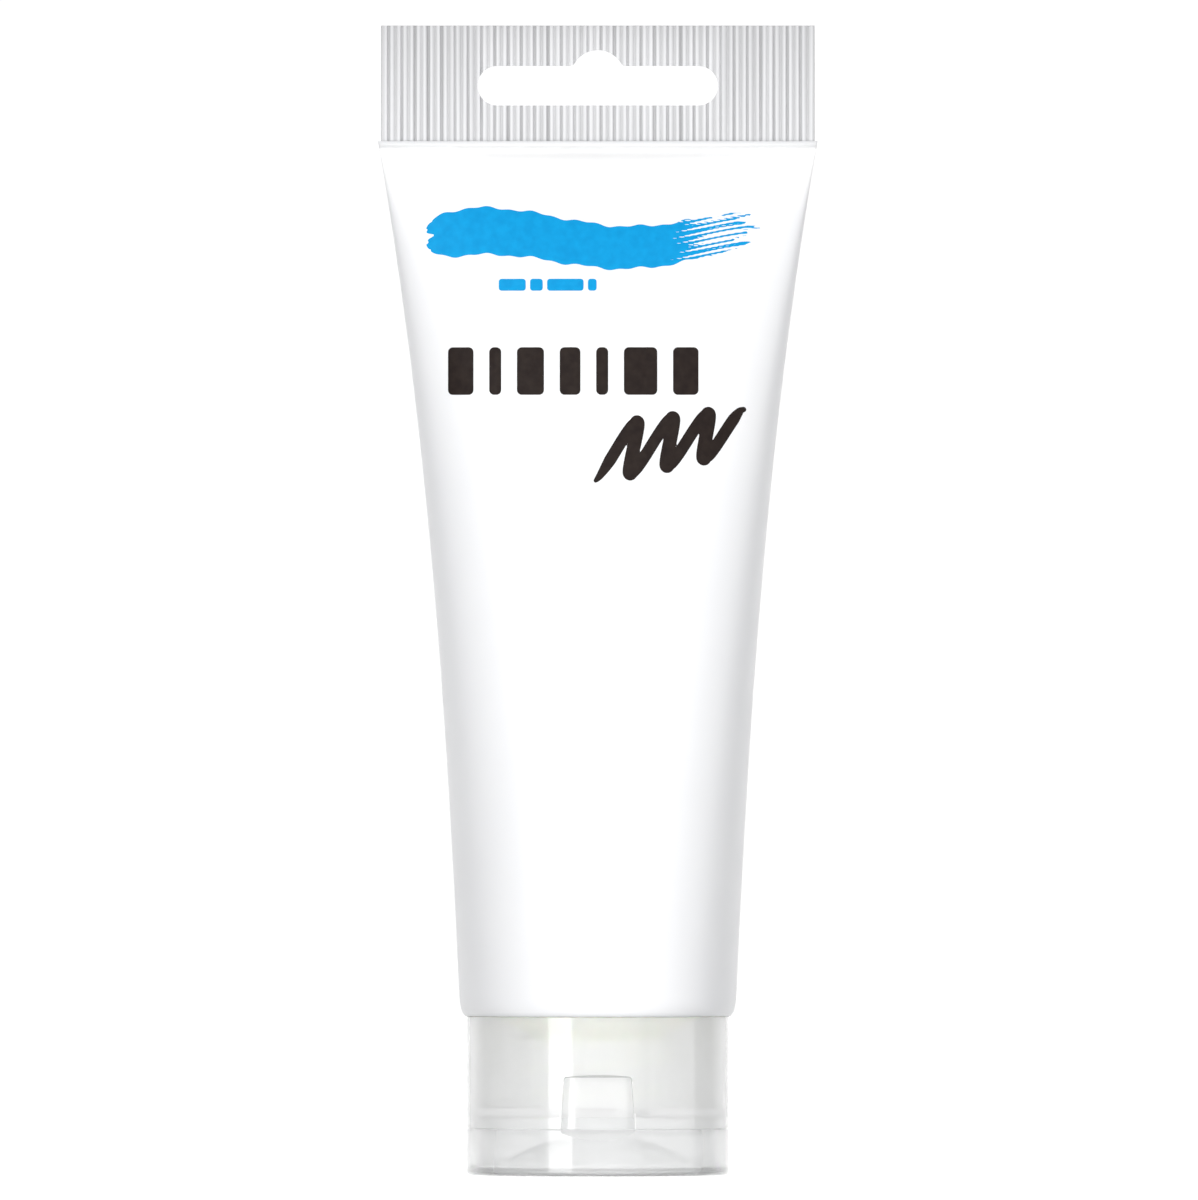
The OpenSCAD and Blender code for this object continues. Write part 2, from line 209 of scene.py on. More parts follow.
def tidy(obj, sharp_degrees=35, weld=1e-7):
    """Outward normals, smooth faces and sharp edges only where the surface turns hard."""
    bm = bmesh.new()
    bm.from_mesh(obj.data)
    bmesh.ops.remove_doubles(bm, verts=bm.verts, dist=weld)
    bmesh.ops.dissolve_degenerate(bm, edges=bm.edges, dist=weld)
    bmesh.ops.recalc_face_normals(bm, faces=bm.faces)
    for f in bm.faces:
        f.smooth = True
    for e in bm.edges:
        turn = e.calc_face_angle(0.0) if e.is_manifold else math.pi
        e.smooth = turn < math.radians(sharp_degrees)
    bm.to_mesh(obj.data)
    bm.free()
    obj.data.update()
    return obj


def combine(obj, other, operation):
    """Joins other to obj, or cuts it out, and removes other."""
    mod = obj.modifiers.new("combine", "BOOLEAN")
    mod.operation = operation
    mod.solver = "EXACT"
    mod.object = other
    bpy.context.view_layer.update()
    graph = bpy.context.evaluated_depsgraph_get()
    mesh = bpy.data.meshes.new_from_object(obj.evaluated_get(graph))
    obj.modifiers.clear()
    obj.data = mesh
    bpy.data.objects.remove(other)
    return obj


def rounded(corners, steps=5):
    """An outline with each (x, y, fillet radius) corner turned into an arc."""
    outline = []
    count = len(corners)
    for i, (x, y, fillet) in enumerate(corners):
        here = np.array([x, y], float)
        if fillet <= 0:
            outline.append(here)
            continue
        before = np.array(corners[i - 1][:2]) - here
        after = np.array(corners[(i + 1) % count][:2]) - here
        reach = 0.48 * min(np.linalg.norm(before), np.linalg.norm(after))
        before, after = before / np.linalg.norm(before), after / np.linalg.norm(after)
        half = math.acos(np.clip(before @ after, -1, 1)) / 2
        cut = min(fillet / math.tan(half), reach)
        radius = cut * math.tan(half)
        middle = (before + after) / np.linalg.norm(before + after)
        centre = here + middle * radius / math.sin(half)
        start, end = here + before * cut - centre, here + after * cut - centre
        total = math.acos(np.clip(start @ end / radius**2, -1, 1))
        for k in range(steps + 1):
            t = k / steps
            mix = start * math.sin((1 - t) * total) + end * math.sin(t * total)
            outline.append(centre + mix / math.sin(total))
    return outline


def revolve(name, outline, segments=256):
    """Closed solid of revolution about Z. A point at radius 0 becomes a pole."""
    verts, rings = [], []
    for r, z in outline:
        if r < 1e-9:
            rings.append([len(verts)])
            verts.append((0, 0, z))
            continue
        rings.append(list(range(len(verts), len(verts) + segments)))
        for i in range(segments):
            a = 2 * math.pi * i / segments
            verts.append((r * math.cos(a), r * math.sin(a), z))
    faces = []
    for k, low in enumerate(rings):
        high = rings[(k + 1) % len(rings)]
        if len(low) == 1 and len(high) == 1:
            continue
        for i in range(segments):
            j = (i + 1) % segments
            if len(low) == 1:
                faces.append((low[0], high[j], high[i]))
            elif len(high) == 1:
                faces.append((low[i], low[j], high[0]))
            else:
                faces.append((low[i], low[j], high[j], high[i]))
    return piece(name, verts, faces)


def wall(radius, low, high):
    """Outline points up or down a tall wall, so that cuts in it leave its shading even."""
    steps = max(2, int(abs(high - low) / MM))
    return [(radius, low + (high - low) * k / steps, 0) for k in range(1, steps)]


def extrude(name, outline, low, high, axis):
    """Solid between low and high along an axis. The outline is in (x, z) for axis Y, or (y, z) for axis X."""
    verts = []
    for level in (low, high):
        for u, v in outline:
            verts.append((level, u, v) if axis == "X" else (u, level, v))
    n = len(outline)
    ends = [tuple(range(n)), tuple(range(2 * n - 1, n - 1, -1))]
    return tidy(piece(name, verts, ends + bands(2, n)))


def arc(centre, radius, start, end, steps):
    """Points on an arc, with angles in degrees."""
    angles = np.radians(np.linspace(start, end, steps + 1))
    return [(centre[0] + radius * math.cos(a), centre[1] + radius * math.sin(a)) for a in angles]


# ---------------------------------------------------------------- materials


class Look:
    """A node material with one Principled shader, built up a node at a time."""

    def __init__(self, name, **sockets):
        self.material = bpy.data.materials.new(name)
        self.material.use_nodes = True
        self.tree = self.material.node_tree
        self.shader = self.tree.nodes["Principled BSDF"]
        self.out = self.tree.nodes["Material Output"]
        self.where = self.tree.nodes.new("ShaderNodeTexCoord").outputs["Object"]
        for key, value in sockets.items():
            self.shader.inputs[key.replace("_", " ")].default_value = value

    def node(self, kind, links=None, **settings):
        """A new shader node. links gives its inputs, each from a socket or as a constant."""
        made = self.tree.nodes.new("ShaderNode" + kind)
        for key, value in settings.items():
            setattr(made, key, value)
        for key, value in (links or {}).items():
            socket = made.inputs[key]
            if isinstance(value, bpy.types.NodeSocket):
                self.tree.links.new(value, socket)
            else:
                socket.default_value = value
        return made

    def noise(self, scale, detail=3.0, stretch=(1, 1, 1)):
        """Noise whose cells are 1 / scale metres, drawn out along the axes with a small stretch."""
        spot = self.node("Mapping", {"Vector": self.where, "Scale": stretch})
        made = self.node("TexNoise", {"Vector": spot.outputs[0], "Scale": scale, "Detail": detail})
        return made.outputs["Fac"]

    def cells(self, scale):
        """Foam-like cells of 1 / scale metres."""
        return self.node("TexVoronoi", {"Vector": self.where, "Scale": scale}).outputs["Distance"]

    def spread(self, value, low, high):
        """Value, from 0.3 to 0.7, laid out from low to high."""
        ends = {"Value": value, "From Min": 0.3, "From Max": 0.7, "To Min": low, "To Max": high}
        return self.node("MapRange", ends).outputs["Result"]

    def math(self, operation, a, b=0.0, c=0.0):
        """The result of a Math node."""
        return self.node("Math", {0: a, 1: b, 2: c}, operation=operation).outputs[0]

    def tint(self, value, low, high):
        """A colour between low and high."""
        made = self.node("Mix", {"Factor": value}, data_type="RGBA")
        made.inputs["A"].default_value = (*low, 1)
        made.inputs["B"].default_value = (*high, 1)
        return made.outputs["Result"]

    def bump(self, height, distance, strength=1.0, under=None):
        """A normal from a height map, on top of the normal under it."""
        links = {"Height": height, "Distance": distance, "Strength": strength}
        if under is not None:
            links["Normal"] = under
        return self.node("Bump", links).outputs["Normal"]

    def put(self, key, value):
        """Feeds a node's result into the shader."""
        self.tree.links.new(value, self.shader.inputs[key])


def sleeve_look():
    """Satin white polyethylene with draw lines and orange peel. Under the weld it is painted whiter, a
    painted light that lifts the shade of the flank, and then grey, a painted shadow just below the weld."""
    look = Look("white_polyethylene", Roughness=0.34, IOR=1.5, Subsurface_Weight=0.1, Subsurface_Scale=0.001)
    look.shader.inputs["Subsurface Radius"].default_value = (1.0, 0.95, 0.9)
    draw_lines, peel = look.noise(900, 2, (1, 1, 0.012)), look.noise(1400, 3)
    film = look.tint(look.spread(look.noise(60), 0, 1), (0.895, 0.9, 0.918), (0.915, 0.92, 0.934))
    height = look.node("SeparateXYZ", {"Vector": look.where}).outputs["Z"]
    # Painted light: the film is painted whiter towards the weld, fully from 3 mm under it, to lift the shade
    # where the flank tilts up.
    stretch = {"Value": height, "From Min": WELD_Z - 9 * MM, "From Max": WELD_Z - 3 * MM}
    painted_flank_light = look.node("Mix", {"Factor": look.node("MapRange", stretch).outputs[0]}, data_type="RGBA")
    look.tree.links.new(film, painted_flank_light.inputs["A"])
    painted_flank_light.inputs["B"].default_value = (0.985, 0.987, 0.99, 1)
    # Painted shadow: a grey band is painted just under the weld, darkest at the weld itself.
    weld_shadow_ends = {"Value": height, "From Min": WELD_Z - WELD_SHADOW_BAND, "From Max": WELD_Z}
    near_weld = look.node("MapRange", weld_shadow_ends).outputs[0]
    painted_weld_shadow = look.node("Mix", {"Factor": look.math("POWER", near_weld, 2)}, data_type="RGBA")
    look.tree.links.new(painted_flank_light.outputs["Result"], painted_weld_shadow.inputs["A"])
    painted_weld_shadow.inputs["B"].default_value = (0.58, 0.585, 0.6, 1)
    look.put("Base Color", painted_weld_shadow.outputs["Result"])
    look.put("Roughness", look.spread(look.noise(350, 4), 0.29, 0.39))
    under = look.bump(draw_lines, 0.00002, 0.2)
    look.put("Normal", look.bump(peel, 0.00001, 0.3, under))
    return look.material


def crimp_look():
    """The same film ribbed by the hot jaws, with painted shade in the grooves: they are painted darker than
    the crests between them.
    """
    look = Look("crimped_polyethylene", Roughness=0.4, IOR=1.5)
    across = look.node("SeparateXYZ", {"Vector": look.where}).outputs["X"]
    shifted = look.math("SUBTRACT", across, RIB_PITCH / 2)
    from_deep = look.math("ABSOLUTE", look.math("WRAP", shifted, RIB_PITCH, -RIB_PITCH))
    wobble = look.spread(look.noise(700, 4, (1, 1, 0.03)), -0.17, 0.17)
    # Painted shade: the ramp paints each groove dark and keeps the crests lightest, on a greyer film.
    ramp = look.node("ValToRGB", {"Fac": look.math("MULTIPLY_ADD", from_deep, 1 / RIB_PITCH, wobble)})
    groove_shade_stops = ((0.0, 0.46), (0.15, 0.52), (0.38, 0.73), (0.5, 0.71), (0.8, 0.59), (1.0, 0.55))
    elements = ramp.color_ramp.elements
    while len(elements) < len(groove_shade_stops):
        elements.new(0.5)
    for element, (place, shade) in zip(elements, groove_shade_stops):
        element.position = place
        element.color = (shade, shade * 1.003, shade * 1.022, 1)
    mottle = look.node("Mix", {"Factor": 0.5}, data_type="RGBA", blend_type="MULTIPLY")
    look.tree.links.new(ramp.outputs["Color"], mottle.inputs["A"])
    uneven = look.math("ADD", look.spread(look.noise(700, 4, (1, 1, 0.02)), 0, 0.5),
                       look.spread(look.noise(230, 2, (1, 1, 0)), 0, 0.5))
    look.tree.links.new(look.tint(uneven, (0.86, 0.86, 0.86), (1.02, 1.02, 1.02)), mottle.inputs["B"])
    look.put("Base Color", mottle.outputs["Result"])
    look.put("Roughness", look.spread(look.noise(900, 3), 0.34, 0.46))
    look.put("Normal", look.bump(look.noise(1600, 3), 0.00002, 0.4))
    return look.material


def clear_look(name, clearness, roughness=(0.07, 0.11), shade=0.92):
    """Clear polypropylene with a faint milky haze and a glossy skin. Light from the lamps goes through it."""
    look = Look(name, IOR=1.49, Transmission_Weight=clearness, Coat_Weight=0.25, Coat_Roughness=0.04)
    flow = look.noise(220, 3, (1, 1, 0.5))
    look.put("Base Color", look.tint(look.spread(flow, 0, 1), [shade - 0.015] * 3, [shade + 0.015] * 3))
    look.put("Roughness", look.spread(look.noise(420, 4), *roughness))
    look.put("Normal", look.bump(flow, 0.00004, 0.2))
    see_through = look.node("BsdfTransparent", {"Color": (0.93, 0.94, 0.94, 1)}).outputs[0]
    shadow = look.node("LightPath").outputs["Is Shadow Ray"]
    both = look.node("MixShader", {0: shadow, 1: look.shader.outputs[0], 2: see_through}).outputs[0]
    look.tree.links.new(both, look.out.inputs["Surface"])
    return look.material


def natural_look():
    """Uncoloured polyethylene: milky with a yellow-green cast."""
    look = Look("natural_polyethylene", IOR=1.52, Subsurface_Weight=0.5, Subsurface_Scale=0.002)
    cloud = look.spread(look.noise(300), 0, 1)
    look.put("Base Color", look.tint(cloud, (0.84, 0.88, 0.55), (0.9, 0.93, 0.65)))
    look.put("Roughness", look.spread(look.noise(700), 0.36, 0.5))
    look.put("Normal", look.bump(look.noise(900, 3), 0.00002, 0.4))
    return look.material


def foil_look():
    """Wrinkled aluminium foil."""
    look = Look("sealing_foil", Metallic=1.0, Roughness=0.3)
    grain = look.spread(look.noise(800), 0, 1)
    look.put("Base Color", look.tint(grain, (0.74, 0.75, 0.76), (0.86, 0.86, 0.87)))
    look.put("Roughness", look.spread(look.noise(1500), 0.22, 0.4))
    look.put("Normal", look.bump(look.noise(650, 5), 0.00012, 0.8))
    return look.material


def foam_look():
    """Closed-cell foam of the washer."""
    look = Look("foamed_polyethylene", Roughness=0.75)
    look.put("Base Color", look.tint(look.cells(3200), (0.95, 0.95, 0.94), (0.82, 0.82, 0.81)))
    look.put("Normal", look.bump(look.cells(3200), 0.00008, 0.7))
    return look.material


def paint_look():
    """Wet white acrylic paint."""
    look = Look("white_paint", Roughness=0.2, Coat_Weight=0.4, Subsurface_Weight=0.3, Subsurface_Scale=0.001)
    swirl = look.spread(look.noise(150), 0, 1)
    look.put("Base Color", look.tint(swirl, (0.9, 0.9, 0.89), (0.96, 0.96, 0.955)))
    look.put("Normal", look.bump(look.noise(260, 2), 0.0002, 0.5))
    return look.material


def ink_look(name, low, high):
    """Screen-printed ink: a dense, slightly uneven colour with little sheen."""
    look = Look(name, IOR=1.5, Specular_IOR_Level=0.12)
    look.put("Base Color", look.tint(look.spread(look.noise(900, 4), 0, 1), low, high))
    look.put("Roughness", look.spread(look.noise(1300, 3), 0.45, 0.6))
    look.put("Normal", look.bump(look.noise(2600, 3), 0.00001, 0.5))
    return look.material


SLEEVE, CRIMP = sleeve_look(), crimp_look()
CLEAR = clear_look("clear_polypropylene", 0.58)
CLEAR_LID = clear_look("clear_lid_polypropylene", 0.72)
# Rougher and less clear, with a darker base: painted shade for the thumb notch's recess.
FROSTED_SHADED = clear_look("frosted_shaded_polypropylene", 0.36, (0.13, 0.17), 0.84)
NATURAL, FOIL, FOAM, PAINT = natural_look(), foil_look(), foam_look(), paint_look()
BLUE = ink_look("blue_ink", (0.0, 0.29, 0.64), (0.002, 0.34, 0.71))
DARK = ink_look("dark_ink", (0.015, 0.009, 0.008), (0.024, 0.016, 0.013))


def dress(obj, material, body, slot, *nodes):
    """Gives a piece its material and its body, and hides the CAD nodes that it stands for. The slot is not
    used.
    """
    obj.data.materials.clear()
    obj.data.materials.append(material)
    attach(obj, body)
    if nodes:
        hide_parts(*nodes)
    return obj


# ---------------------------------------------------------------- tube


def section(a, b, pinch, z, around):
    """One ring of the sleeve."""
    angles = np.linspace(0, 2 * np.pi, around, endpoint=False)
    s = np.sin(angles)
    y = b * np.sign(s) * np.abs(s) ** pinch
    return np.stack([a * np.cos(angles), y, np.full(around, z)], -1)


def make_sleeve():
    """Closed sleeve: rings down the inside, round the rim at its foot and up the outside to the weld."""
    around, rise, rim_steps = 240, 120, 10
    foot_r = TUBE_R - RIM_IN
    heights = ROUND_Z + (WELD_Z - ROUND_Z) * (1 - (1 - np.linspace(0, 1, rise)) ** 1.5)
    inside = heights[heights < WELD_Z - 1.6 * MM][::-3]
    rings = []
    for z in inside:
        depth = max(half_depth(z) - SLEEVE_WALL, 0.1 * MM)
        rings.append(section(half_width(z) - SLEEVE_WALL, depth, crease(z), z, around))
    quarter = np.radians(np.linspace(0, 90, rim_steps))
    for a in quarter[1:]:
        r = foot_r + (RIM_IN - SLEEVE_WALL) * math.cos(a)
        rings.append(section(r, r, 1, ROUND_Z - (RIM_RISE - SLEEVE_WALL) * math.sin(a), around))
    for a in quarter[:0:-1]:
        r = foot_r + RIM_IN * math.cos(a)
        rings.append(section(r, r, 1, ROUND_Z - RIM_RISE * math.sin(a), around))
    for z in heights:
        rings.append(section(half_width(z), half_depth(z), crease(z), z, around))
    verts = np.concatenate(rings)
    count = len(rings)
    ends = [tuple(range(around)), tuple(range(count * around - 1, (count - 1) * around - 1, -1))]
    sleeve = tidy(piece("tube_sleeve_skin", verts, ends + bands(count, around)), 60)
    return dress(sleeve, SLEEVE, "tube", "white_sleeve", "tube_sleeve")


def groove(x):
    """Depth of the crimp's grooves at x: every second one is deeper."""
    deep, shallow, half_w = 0.24 * MM, 0.14 * MM, 0.15 * MM
    near_deep = np.abs((x / (2 * RIB_PITCH) + 0.25) % 1 - 0.5) * 2 * RIB_PITCH
    near_shallow = np.abs((x / (2 * RIB_PITCH) - 0.25) % 1 - 0.5) * 2 * RIB_PITCH
    cut = deep * np.exp(-((near_deep / half_w) ** 2)) + shallow * np.exp(-((near_shallow / half_w) ** 2))
    return cut * (np.abs(x) < SEAL_W / 2 - 0.4 * MM)


def make_crimp():
    """Ribbed flat end with its edges eased and the hanging slot cut out."""
    columns = 1100
    x = np.linspace(-SEAL_W / 2, SEAL_W / 2, columns)
    edge = 0.1 * MM
    pull = edge * (1 - np.sqrt(np.clip(1 - (1 - np.clip((SEAL_W / 2 - np.abs(x)) / edge, 0, 1)) ** 2, 0, 1)))
    y = SEAL_T / 2 - groove(x) - pull
    outline = [(a, -b) for a, b in zip(x, y)] + [(a, b) for a, b in zip(x[::-1], y[::-1])]
    top_edge = 0.06 * MM
    levels = [(WELD_Z - SEAL_OVERLAP, 0.0), (SEAL_TOP - top_edge, 0.0), (SEAL_TOP, top_edge)]
    n = len(outline)
    verts = [(a, b - math.copysign(cut, b), z) for z, cut in levels for a, b in outline]
    ends = [tuple(range(n)), tuple(range(3 * n - 1, 2 * n - 1, -1))]
    crimp = tidy(piece("crimped_end", verts, ends + bands(3, n)), 70)
    combine(crimp, slot_cutter(), "DIFFERENCE")
    tidy(crimp, 50)
    return dress(crimp, CRIMP, "tube", "white_sleeve", "end_seal")


def slot_cutter():
    """Prism with the hanging slot's outline: round ends and a bump that flares into the top edge."""
    end_r, reach = SLOT_H / 2, SLOT_W / 2 - SLOT_H / 2
    bump_z = end_r + BUMP_RISE - BUMP_R
    flare = 0.8 * MM
    side = math.sqrt((BUMP_R + flare) ** 2 - (end_r + flare - bump_z) ** 2)
    lean = math.degrees(math.atan2(end_r + flare - bump_z, side))
    outline = arc((reach, 0), end_r, -90, 90, 24)
    outline += arc((side, end_r + flare), flare, 270, 180 + lean, 6)
    outline += arc((0, bump_z), BUMP_R, lean, 180 - lean, 24)[1:-1]
    outline += arc((-side, end_r + flare), flare, 360 - lean, 270, 6)
    outline += arc((-reach, 0), end_r, 90, 270, 24)
    return extrude("slot_cutter", [(u, v + SLOT_Z) for u, v in outline], -3 * MM, 3 * MM, "Y")


# ---------------------------------------------------------------- print


def ink_sheet(name, field, low, high, cell, material):
    """A thin printed layer on the sleeve's front wherever field(x, z) is below 0, by marching squares."""
    across = max(2, int(round((high[0] - low[0]) / cell)))
    up = max(2, int(round((high[1] - low[1]) / cell)))
    xs, zs = np.linspace(low[0], high[0], across + 1), np.linspace(low[1], high[1], up + 1)
    gx, gz = np.meshgrid(xs, zs, indexing="ij")
    value = field(gx, gz)
    spots, index, faces = [], {}, []

    def spot(a, b=None):
        """Vertex at grid corner a, or where the outline crosses the side from a to b."""
        key = (a, b) if b is None or a < b else (b, a)
        if key not in index:
            if b is None:
                where = (xs[a[0]], zs[a[1]])
            else:
                p, q = key
                t = np.clip(value[p] / (value[p] - value[q]), 0.02, 0.98)
                where = (xs[p[0]] + t * (xs[q[0]] - xs[p[0]]), zs[p[1]] + t * (zs[q[1]] - zs[p[1]]))
            index[key] = len(spots)
            spots.append(where)
        return index[key]

    inside = value < 0
    touched = inside[:-1, :-1] | inside[1:, :-1] | inside[:-1, 1:] | inside[1:, 1:]
    for i, j in zip(*np.nonzero(touched)):
        i, j = int(i), int(j)
        ring = [(i, j), (i + 1, j), (i + 1, j + 1), (i, j + 1)]
        face = []
        for k, here in enumerate(ring):
            after = ring[(k + 1) % 4]
            if inside[here]:
                face.append(spot(here))
            if inside[here] != inside[after]:
                face.append(spot(here, after))
        if len(face) > 2:
            faces.append(face)
    spots = np.array(spots)
    count = len(spots)
    verts = np.concatenate([
        on_front(spots[:, 0], spots[:, 1], 0.025 * MM),
        on_front(spots[:, 0], spots[:, 1], -0.02 * MM),
    ])
    sides = {}
    for face in faces:
        for k, a in enumerate(face):
            b = face[(k + 1) % len(face)]
            sides[(a, b)] = (b, a) not in sides and sides.get((a, b), True)
            if (b, a) in sides:
                sides[(b, a)] = sides[(a, b)] = False
    walls = [(b, a, a + count, b + count) for (a, b), lone in sides.items() if lone]
    back = [tuple(count + v for v in reversed(face)) for face in faces]
    sheet = tidy(piece(name, verts, faces + back + walls), 50)
    return dress(sheet, material, "tube", "white_sleeve")


def stroke_field(path, half, x, z):
    """Signed distance to a stroke along path, whose half width varies along it."""
    best = np.full(x.shape, 1.0)
    for (px, pz), h in zip(path, half):
        np.minimum(best, np.hypot(x - px, z - pz) - h, out=best)
    return best


def block_field(x, z, centre, size, corner):
    """Signed distance to an upright rounded block."""
    dx = np.abs(x - centre[0]) - size[0] / 2 + corner
    dz = np.abs(z - centre[1]) - size[1] / 2 + corner
    return np.hypot(np.maximum(dx, 0), np.maximum(dz, 0)) + np.minimum(np.maximum(dx, dz), 0) - corner


def row_field(x, z, left, middle, widths, gap, height, corner):
    """Signed distance to a row of upright rounded blocks."""
    best, start = np.full(x.shape, 1.0), left
    for w in widths:
        best = np.minimum(best, block_field(x, z, (start + w / 2, middle), (w, height), corner))
        start += w + gap
    return best


def make_brush_mark():
    """A broad blue brush stroke across the upper front, with a dry trailing end."""
    left, right, middle = -21.9 * MM, 20.6 * MM, 118.3 * MM

    def field(x, z):
        s = (x - left) / (right - left)
        rise = 1.15 * MM * np.sin(2 * np.pi * (1.15 * s + 0.05)) + 0.5 * MM * (s - 0.5)
        wobble = 0.14 * MM * np.sin(41 * s + 0.7) + 0.09 * MM * np.sin(97 * s + 2.1)
        half = 3.1 * MM * (1 - 0.22 * s) * np.clip(1 - (2 * s - 1) ** 12, 0, 1) ** 0.5
        across = (z - middle - rise) / (3.2 * MM)
        band = np.abs(z - middle - rise) - half - wobble * np.sign(z - middle - rise)
        ragged = 1.3 * MM * np.sin(9 * across + 1.3) + 0.8 * MM * np.sin(23 * across + 0.4)
        ends = np.maximum(left + 0.5 * MM + 0.35 * ragged - x, x - right + 1.5 * MM - ragged)
        bristles = np.sin(30 * across + 1.7 * np.sin(5 * s)) * 0.5 + 0.5 * np.sin(53 * across + 0.9)
        dry = 0.28 * MM * (bristles + 1.55 - 1.75 * smoothstep((s - 0.52) / 0.5) - 0.35 * np.sin(17 * s))
        return np.maximum(np.maximum(band, ends), -np.minimum(dry, 0.2 * MM))

    return ink_sheet("blue_brush_mark", field, (left - MM, middle - 6 * MM), (right + MM, middle + 6 * MM),
                     0.16 * MM, BLUE)


def make_small_dashes():
    """A short row of small blue dashes under the brush mark."""
    height, middle, corner = 1.5 * MM, 112.5 * MM, 0.35 * MM
    widths = [3.4 * MM, 1.6 * MM, 4.6 * MM, 1.1 * MM]
    gap, left = 0.55 * MM, -12.5 * MM

    def field(x, z):
        return row_field(x, z, left, middle, widths, gap, height, corner)

    return ink_sheet("blue_dash_row", field, (left - MM, middle - 2 * MM), (MM, middle + 2 * MM),
                     0.14 * MM, BLUE)


def make_block_row():
    """A row of plain dark blocks."""
    height, middle, corner, gap = 6 * MM, 101.6 * MM, 0.6 * MM, 2 * MM
    left, widths = -18.9 * MM, [3.2 * MM, 1.5 * MM, 3.4 * MM, 2.6 * MM, 1.5 * MM, 4.2 * MM, 3.2 * MM]

    def field(x, z):
        return row_field(x, z, left, middle, widths, gap, height, corner)

    return ink_sheet("dark_block_row", field, (left - MM, middle - height), (14.5 * MM, middle + height),
                     0.16 * MM, DARK)


def make_scribble():
    """A dark slanted brush scribble that climbs to the right."""
    left, right, foot, rise = 1.2 * MM, 17.2 * MM, 90.2 * MM, 2.6 * MM
    turns, swing = 3.5, 3.6 * MM
    s = np.linspace(0, 1, 900)
    lift = swing * np.sin(2 * np.pi * turns * s - 1.4) * (1 - 0.2 * s)
    path_x = left + (right - left) * s + 0.42 * lift
    path_z = foot + rise * s + lift + 1.1 * MM
    heading = np.arctan2(np.gradient(path_z), np.gradient(path_x))
    half = (0.5 + 0.42 * np.abs(np.sin(heading - 0.35))) * MM * np.clip(12 * np.minimum(s, 1 - s) + 0.4, 0, 1)
    path = np.stack([path_x, path_z], -1)
    return ink_sheet("dark_scribble", lambda x, z: stroke_field(path, half, x, z),
                     (-3 * MM, 83.5 * MM), (22 * MM, 100 * MM), 0.15 * MM, DARK)


# ---------------------------------------------------------------- neck and threads


def make_thread(name, foot_r, side, start, turns, material, body, slot, node):
    """A right-hand thread that runs out at both ends. side is 1 outside a wall and -1 inside one."""
    per_turn, run_out = 96, 10
    steps = int(round(turns * per_turn))
    shape = [(-1.0, 0.0), (-0.78, 0.35), (-0.6, 0.75), (-0.45, 0.94), (-0.3, 1.0),
             (0.3, 1.0), (0.45, 0.94), (0.6, 0.75), (0.78, 0.35), (1.0, 0.0)]
    verts = []
    for i in range(steps + 1):
        grown = max(math.sin(min(min(i, steps - i) / run_out, 1) * math.pi / 2), 0.14)
        angle = 2 * math.pi * turns * i / steps
        for along, out in shape:
            r = foot_r + side * (THREAD_SINK + THREAD_DEPTH) * grown * out
            z = start + PITCH * turns * i / steps + along * MM * (0.55 + 0.45 * grown)
            verts.append((r * math.cos(angle), r * math.sin(angle), z))
    n = len(shape)
    ends = [tuple(range(n)), tuple(steps * n + k for k in reversed(range(n)))]
    return dress(tidy(piece(name, verts, ends + bands(steps + 1, n)), 50), material, body, slot, node)


def make_threads():
    """The neck's thread and, half a turn away, the one in the cap's collar."""
    neck_r = 8.5 * MM
    collar_r = neck_r + 1.25 * MM
    start = bottom("foil_seal") + 2 * MM
    make_thread("neck_thread_ridge", neck_r - THREAD_SINK, 1, start, 1.5,
                NATURAL, "tube", "natural_shoulder", "neck_thread")
    make_thread("cap_thread_ridge", collar_r + THREAD_SINK, -1, start - PITCH / 2, 1.8,
                CLEAR, "cap", "clear_cap", "cap_thread")


# ---------------------------------------------------------------- cap


def notch_outline(margin, corner):
    """Flared outline of the thumb notch in (x, z), with its low side past the cap's foot."""
    over = MM
    spread = (NOTCH_FOOT_W - NOTCH_TOP_W) / 2 * over / NOTCH_H
    foot, head = NOTCH_FOOT_W / 2 + spread + margin, NOTCH_TOP_W / 2 + margin
    low, high = CAP_FOOT - over, CAP_FOOT + NOTCH_H + margin
    return rounded([(-foot, low, 0), (foot, low, 0), (head, high, corner), (-head, high, corner)])


def hinge_pad(name, low, high):
    """Rounded pad on the back of the cap or lid, where the hinge springs from, let into the round wall."""
    half, edge = PAD_W / 2, 0.35 * MM
    outline = rounded([(-half, low, edge), (half, low, edge), (half, high, edge), (-half, high, edge)])
    pad = extrude(name, outline, CAP_R - 1.6 * MM, PAD_Y, "Y")
    mid_wall, past = CAP_R - CAP_WALL / 2, MM
    bore = [(0, low - past), (mid_wall, low - past), (mid_wall, high + past), (0, high + past)]
    return combine(pad, revolve("pad_bore", bore), "DIFFERENCE")


def notch_void():
    """What the thumb notch takes away: a prism whose mouth flares into a soft edge on the outer wall."""
    inner, mouth = notch_outline(0, 0.35 * MM), notch_outline(MOUTH_FLARE, 0.45 * MM)
    verts = []
    levels = ((mouth, -2 * MM), (mouth, -0.1 * MM), (inner, MOUTH_DEPTH), (inner, CAP_R / 2))
    for outline, depth in levels:
        verts += [(u, depth - CAP_R, v) for u, v in outline]
    n = len(inner)
    ends = [tuple(range(n)), tuple(range(4 * n - 1, 3 * n - 1, -1))]
    return tidy(piece("notch_void", verts, ends + bands(4, n)))


